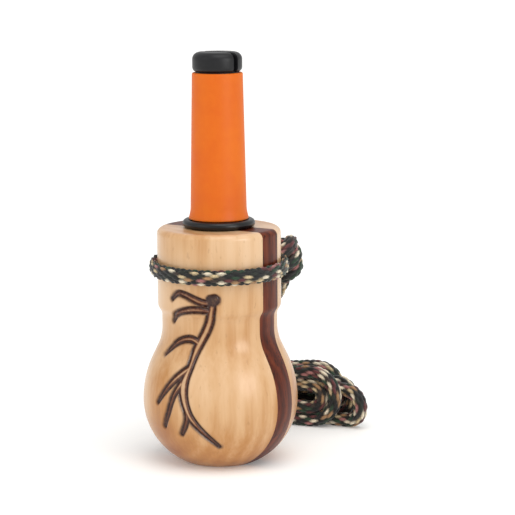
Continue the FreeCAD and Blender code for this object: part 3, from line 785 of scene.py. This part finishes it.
def bellPieces():
    outline = bellOutline()
    maple = woodMaterial("mapleLacquered", mapleLook)
    burns = {"toast": carving["toastShade"], "char": carving["charShade"]}
    burnedMaple = woodMaterial("mapleLacquered_burned", dict(mapleLook, burned=burns))
    walnut = woodMaterial("walnutLacquered", walnutLook)
    frontHalf(outline, burnedMaple)
    plain = {
        "bellMapleBack": ((0, 1), (180, -1), 90, maple, "maple", "maple_back_half"),
        "bellWalnutRight": ((0, -1), (0, 1), 14, walnut, "walnut", "walnut_strip_right"),
        "bellWalnutLeft": ((180, -1), (180, 1), 14, walnut, "walnut", "walnut_strip_left"),
    }
    for name, (start, end, count, material, slotName, node) in plain.items():
        angle, radius, height = sectorWall(outline, start, end, np.linspace(0, 1, count))
        points = onWall(angle, radius, height)
        piece = meshPiece(name, points, sectorFaces(*angle.shape), material, "barrel", sharp=50)
        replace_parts(piece, node)


bellPieces()
print("bell turned, laminated and carved")


# sleeve, seat ring and mouthpiece tip

def rubberMaterial(name, look):
    # Moulded silicone, nitrile rubber or ABS: even colour, a faint bloom, and the fine skin of a
    # blasted mould, with soft light carried a little way into the surface of the orange one.
    material, tree = newMaterial(name)
    place = addNode(tree, "ShaderNodeTexCoord").outputs["Object"]
    bloom = noise(tree, place, look["bloomSize"], 4.0, 0.6)
    skin = noise(tree, place, look["skinGrain"], 2.0)
    colour = ramp(tree, bloom, [(0.3, look["shades"][0]), (0.7, look["shades"][1])])
    roughness = remap(tree, bloom, (0.3, 0.7), (look["roughness"] - 0.05, look["roughness"] + 0.06))
    bump = addNode(tree, "ShaderNodeBump", {
        "Height": skin, "Strength": look["skinDepth"], "Distance": 0.0001})
    finishMaterial(tree, {
        "Base Color": colour, "Roughness": roughness, "Normal": bump.outputs[0],
        "Specular IOR Level": look["specular"], "Subsurface Weight": look["glow"],
        "Subsurface Radius": (0.003, 0.0012, 0.0005), "Subsurface Scale": 1.0,
    })
    return material


orangeLook = {
    "shades": ("#D86103", "#E06E08"), "bloomSize": 0.012, "skinGrain": 0.0006, "skinDepth": 0.10,
    "roughness": 0.5, "specular": 0.28, "glow": 0.08,
}
blackLook = {
    "shades": ("#08080A", "#0F0F12"), "bloomSize": 0.006, "skinGrain": 0.0005, "skinDepth": 0.16,
    "roughness": 0.32, "specular": 0.4, "glow": 0.0,
}
plasticLook = {
    "shades": ("#0E0E10", "#17171A"), "bloomSize": 0.005, "skinGrain": 0.0004, "skinDepth": 0.22,
    "roughness": 0.40, "specular": 0.32, "glow": 0.0,
}

# mm; "low" and "high" are the radii between which the sleeve tapers
sleeve = {
    "foot": 81.4, "top": 129.6, "flare": 10.0, "flareTop": 85.2, "low": 9.3, "high": 8.35,
    "socket": 7.87, "socketTop": 92.6, "boreFoot": 96.0, "bore": 7.03,
    "lip": 0.5, "footRound": 0.4, "innerRound": 0.2,
}
seatRing = {"radius": 10.65, "section": 1.35, "height": 80.0}


def sleeveOutline():
    # outside: a rounded foot, a flare that dies away as a half cosine, a straight taper and a
    # rounded lip; inside: the stem's socket, a short cone and the bore
    footEdge, lipEdge, rounding = sleeve["footRound"], sleeve["lip"], sleeve["innerRound"]
    foot, top, bore, socket = sleeve["foot"], sleeve["top"], sleeve["bore"], sleeve["socket"]
    height = np.linspace(foot + footEdge, top - lipEdge, 60)
    taper = np.interp(height, [foot, top], [sleeve["low"] + 0.05, sleeve["high"]])
    share = np.clip((sleeve["flareTop"] - height) / (sleeve["flareTop"] - foot), 0, 1)
    outside = taper + (sleeve["flare"] - sleeve["low"]) * (1 - np.cos(np.pi / 2 * share))
    wall = np.stack([outside, height], -1)
    footArc = arcPoints((wall[0, 0] - footEdge, foot + footEdge), footEdge, -90, 0, 6)
    lipArc = arcPoints((wall[-1, 0] - lipEdge, top - lipEdge), lipEdge, 0, 90, 7)
    inside = [
        (bore + rounding, top), (bore, top - rounding), (bore, sleeve["boreFoot"]),
        (socket, sleeve["socketTop"]), (socket, foot + rounding), (socket + rounding, foot),
    ]
    return np.vstack([footArc, wall[1:-1], lipArc, inside])


# mm; "slot" is half the slot's width and "turn" its angle in degrees
tip = {
    "foot": 121.0, "skirt": 7.0, "bore": 5.6, "headFoot": 129.8, "headTop": 136.3, "head": 8.2,
    "topRound": 2.4, "footRound": 1.6, "slot": 0.58, "slotRound": 0.4, "turn": -8.0,
    "segments": 64, "arcShare": 0.66,
}


def halfHead(side):
    # One half of the slotted head: a D of the head's radius at each height, its corners rounded.
    # The radius follows the head's outline, and the D's flat is the wall of the slot, which
    # opens at both ends by the sixth power of the distance from its middle.
    head, foot, top = tip["head"], tip["headFoot"], tip["headTop"]
    low, high, slotEdge = tip["footRound"], tip["topRound"], tip["slot"] + tip["slotRound"]
    outline = np.vstack([
        [(tip["bore"], foot)],
        arcPoints((head - low, foot + low), low, -90, 0, 8),
        arcPoints((head - high, top - high), high, 0, 90, 12),
        np.linspace((head - high - 0.6, top + 0.02), (slotEdge + 0.02, top + 0.05), 8),
    ])
    radius, height = outline[:, :1], outline[:, 1:]
    share = np.linspace(0, 1, tip["segments"], endpoint=False)
    # the arc takes the first two thirds of the way round, and the flat takes the rest
    corner = np.degrees(np.arcsin(np.clip(slotEdge / radius, 0, 1)))
    arcShare = np.clip(share / tip["arcShare"], 0, 1)
    angle = np.radians(corner + (180 - 2 * corner) * arcShare)
    x, y = radius * np.cos(angle), radius * np.sin(angle)
    flatShare = np.clip((share - tip["arcShare"]) / (1 - tip["arcShare"]), 0, 1)
    chord = radius * np.cos(np.radians(corner))
    onFlat = share >= tip["arcShare"]
    x = np.where(onFlat, -chord + 2 * chord * flatShare, x)
    y = np.where(onFlat, tip["slot"] + tip["slotRound"] * (np.abs(2 * flatShare - 1) ** 6), y) * side
    turn = math.radians(tip["turn"])
    turnedX, turnedY = x * math.cos(turn) - y * math.sin(turn), x * math.sin(turn) + y * math.cos(turn)
    return np.stack([turnedX, turnedY, height + 0 * x], -1) * mm


def tipPiece(material):
    bore, wide, foot, top = tip["bore"], tip["skirt"], tip["foot"], tip["headFoot"] + 0.3
    skirt = np.array([(bore, foot), (wide - 0.3, foot), (wide, foot + 0.3), (wide, top), (bore, top)])
    count = tip["segments"]
    ring = turned(skirt, count) * mm
    points, faces = [ring.reshape(-1, 3)], [*gridFaces(len(skirt), count, True, True)]
    offset = len(skirt) * count
    for side in (1, -1):
        half = halfHead(side)
        rows, columns = half.shape[:2]
        quads = gridFaces(rows, columns, wrapColumns=True)
        caps = [np.arange(columns)[::-1], np.arange(columns) + (rows - 1) * columns]
        shell = [*quads, *caps]
        if side < 0:
            shell = [face[::-1] for face in shell]
        faces += [np.asarray(face) + offset for face in shell]
        points.append(half.reshape(-1, 3))
        offset += rows * columns
    piece = meshPiece("mouthpieceTip", np.vstack(points), faces, material, "tip",
                      sharp=60)
    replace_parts(piece, "mouthpiece_tip")


def filmMaterial():
    # Drawn polyester film, 0.25 mm: glossy, slightly milky and partly see-through.
    material, tree = newMaterial("polyesterFilm_clear")
    place = addNode(tree, "ShaderNodeTexCoord").outputs["Object"]
    haze = noise(tree, place, 0.002, 2.0)
    colour = ramp(tree, haze, [(0.0, "#C9D2D0"), (1.0, "#E4EAE6")])
    finishMaterial(tree, {
        "Base Color": colour, "Roughness": 0.16, "Transmission Weight": 0.35, "IOR": 1.57})
    return material


def turnedPiece(name, outline, material, body, node, sharp=None):
    segments = 128
    points = turned(outline, segments) * mm
    faces = gridFaces(len(outline), segments, True, True)
    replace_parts(meshPiece(name, points, faces, material, body, sharp=sharp), node)


def mouthpiecePieces():
    orange = rubberMaterial("siliconeRubber_orange", orangeLook)
    black = rubberMaterial("nitrileRubber_black", blackLook)
    plastic = rubberMaterial("mouldedAbs_black", plasticLook)
    turnedPiece("biteSleeve", sleeveOutline(), orange, "sleeve", "bite_sleeve", 60)
    section = arcPoints((seatRing["radius"], seatRing["height"]), seatRing["section"], 0, 360, 33)[:-1]
    turnedPiece("seatRing", section, black, "insert", "seat_ring")
    tipPiece(plastic)
    film = filmMaterial()
    finishes = {
        "insert_stem": plastic, "tone_board": plastic, "reed_wedge": plastic,
        "stem_o_ring_lower": black, "stem_o_ring_upper": black,
        "reed_root": film, "reed_tongue": film,
    }
    for node, material in finishes.items():
        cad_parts[node].data.materials.clear()
        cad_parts[node].data.materials.append(material)


mouthpiecePieces()
print("sleeve, ring and tip made")


# floor, backdrop and lights

# metres, degrees and watts
studio = {
    "key": {
        "azimuth": 77, "height": 0.33, "distance": 0.90, "size": 0.34, "power": 0.8,
        "seenIn": "diffuse",
    },
    "softbox": {
        "azimuth": 77, "height": 0.31, "distance": 0.90, "size": 0.44, "power": 2.7,
        "seenIn": "glossy",
    },
    "fill": {
        "azimuth": -25, "height": 0.60, "distance": 1.0, "size": 0.8, "power": 1.15,
        "seenIn": "both",
    },
    "sun": {"azimuth": 60, "tilt": 22, "softness": 50, "strength": 1.2},
    "aimHeight": 0.06,
    "world": 0.74,        # how bright the backdrop is as a light
    "floorReach": 6,
}


def makeFloor():
    # thick translucent paper, lit a little from behind
    material, tree = newMaterial("paperBackdrop")
    finishMaterial(tree, {
        "Base Color": linearColour("#FAFAF8"), "Roughness": 0.9,
        "Emission Color": (1, 1, 1, 1), "Emission Strength": 0.10,
    })
    mesh = bpy.data.meshes.new("floor")
    reach = studio["floorReach"]
    corners = [(-reach, -reach, 0), (reach, -reach, 0), (reach, reach, 0), (-reach, reach, 0)]
    mesh.from_pydata(corners, [], [(0, 1, 2, 3)])
    mesh.materials.append(material)
    floor = bpy.data.objects.new("floor", mesh)
    bpy.context.scene.collection.objects.link(floor)


def makeLamp(name, look):
    data = bpy.data.lights.new(name, "AREA")
    data.shape = "DISK"
    data.energy = look["power"]
    data.size = look["size"]
    lamp = bpy.data.objects.new(name, data)
    lamp.visible_diffuse = look["seenIn"] != "glossy"
    lamp.visible_glossy = look["seenIn"] != "diffuse"
    turn, distance = math.radians(look["azimuth"]), look["distance"]
    place = Vector((math.sin(turn) * distance, -math.cos(turn) * distance, look["height"]))
    lamp.location = place
    aim = Vector((0, 0, studio["aimHeight"]))
    lamp.rotation_euler = (aim - place).to_track_quat("-Z", "Y").to_euler()
    bpy.context.scene.collection.objects.link(lamp)


def makeSun(look):
    data = bpy.data.lights.new("sun", "SUN")
    data.energy = look["strength"]
    data.angle = math.radians(look["softness"])
    sun = bpy.data.objects.new("sun", data)
    turn, tilt = math.radians(look["azimuth"]), math.radians(look["tilt"])
    across = math.sin(tilt)
    away = Vector((-math.sin(turn) * across, math.cos(turn) * across, -math.cos(tilt)))
    sun.rotation_euler = away.to_track_quat("-Z", "Y").to_euler()
    bpy.context.scene.collection.objects.link(sun)


def makeWorld():
    world = bpy.data.worlds.new("studio")
    world.use_nodes = True
    tree = world.node_tree
    tree.nodes.clear()
    # the backdrop itself is white, and lights the object a little less than it shows
    seen = addNode(tree, "ShaderNodeLightPath").outputs["Is Camera Ray"]
    strength = remap(tree, seen, (0.0, 1.0), (studio["world"], 1.0))
    sky = addNode(tree, "ShaderNodeBackground", {"Color": (1, 1, 1, 1), "Strength": strength})
    addNode(tree, "ShaderNodeOutputWorld", {"Surface": sky.outputs[0]})
    bpy.context.scene.world = world


makeFloor()
for lampName in ("key", "softbox", "fill"):
    makeLamp(lampName, studio[lampName])
makeSun(studio["sun"])
makeWorld()
bpy.context.scene.view_settings.view_transform = "Standard"    # colours as plain sRGB
print("studio lit")
